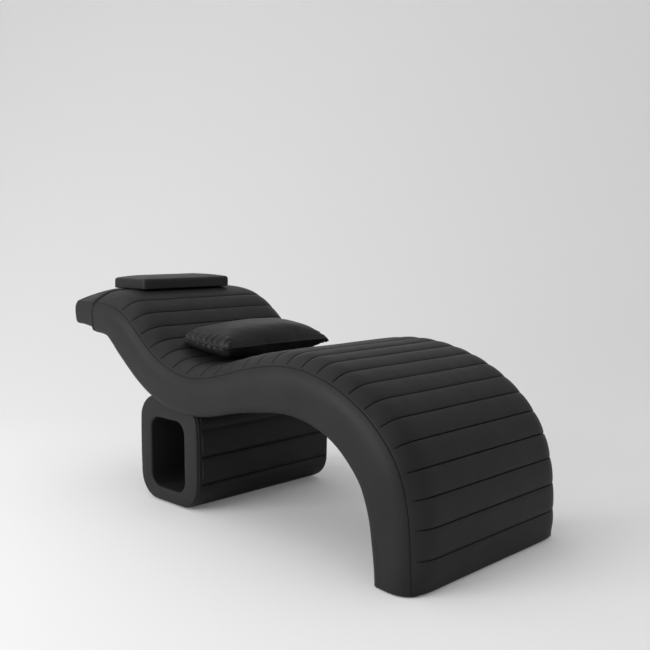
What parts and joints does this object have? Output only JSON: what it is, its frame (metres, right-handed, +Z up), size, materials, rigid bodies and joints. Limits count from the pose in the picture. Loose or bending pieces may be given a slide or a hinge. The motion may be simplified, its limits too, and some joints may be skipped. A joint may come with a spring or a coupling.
{
  "type": "treatment bed",
  "caption": "Wave shaped treatment bed in channelled black leatherette, standing on its curved foot and on a tunnel pedestal, with a head block and two loose pillows.",
  "frame": {"origin": "on the floor under the middle of the bed's bounding box", "axes": "+X to the foot end, +Y across the bed to its far side, +Z up"},
  "size_m": [1.806, 0.7724, 0.834],
  "materials": {
    "black_leather": "satin black leatherette with a fine grain",
    "pillow_leather": "satin black leatherette with a fine grain, gathered at the seams",
    "welt_leather": "black leatherette welt, topstitched",
    "foam": "open cell foam, hidden",
    "plywood": "birch plywood, hidden",
    "steel": "zinc plated steel, hidden",
    "nylon": "black nylon glides"
  },
  "bodies": {
    "bed": {"channel_top": "black_leather", "side_pad_near": "black_leather", "side_pad_far": "black_leather", "under_cover": "black_leather", "head_lip": "black_leather", "head_block": "black_leather", "pedestal_wrap": "black_leather", "pedestal_end_near": "black_leather", "pedestal_end_far": "black_leather", "tunnel_liner": "black_leather", "edge_welt_near": "welt_leather", "edge_welt_far": "welt_leather", "seat_foam": "foam", "top_board": "plywood", "rib_near": "plywood", "rib_middle": "plywood", "rib_far": "plywood", "under_board": "plywood", "foot_board": "plywood", "head_board": "plywood", "pedestal_frame_near": "plywood", "pedestal_frame_middle": "plywood", "pedestal_frame_far": "plywood", "pedestal_board_front": "plywood", "pedestal_board_back": "plywood", "pedestal_base": "plywood", "rail_near_1": "plywood", "rail_near_2": "plywood", "rail_near_3": "plywood", "rail_near_4": "plywood", "rail_near_5": "plywood", "rail_near_6": "plywood", "rail_near_7": "plywood", "rail_far_1": "plywood", "rail_far_2": "plywood", "rail_far_3": "plywood", "rail_far_4": "plywood", "rail_far_5": "plywood", "rail_far_6": "plywood", "rail_far_7": "plywood", "bolt_rail_near_1": "plywood", "bolt_rail_near_2": "plywood", "bolt_rail_far_1": "plywood", "bolt_rail_far_2": "plywood", "head_bar_near": "steel", "head_bar_far": "steel", "pedestal_bolt_1": "steel", "pedestal_bolt_2": "steel", "pedestal_bolt_3": "steel", "pedestal_bolt_4": "steel", "foot_glide_1": "nylon", "foot_glide_2": "nylon", "foot_glide_3": "nylon", "pedestal_glide_1": "nylon", "pedestal_glide_2": "nylon", "pedestal_glide_3": "nylon", "pedestal_glide_4": "nylon"},
    "head_pillow_body": {"head_pillow": "pillow_leather"},
    "lumbar_pillow_body": {"lumbar_pillow": "pillow_leather"}
  },
  "joints": [
    {"name": "head_pillow_lift", "type": "slide", "parent": "bed", "child": "head_pillow_body", "axis": [0, 0, 1], "range_m": [0, 0.25]},
    {"name": "lumbar_pillow_lift", "type": "slide", "parent": "bed", "child": "lumbar_pillow_body", "axis": [0, 0, 1], "range_m": [0, 0.4]}
  ]
}
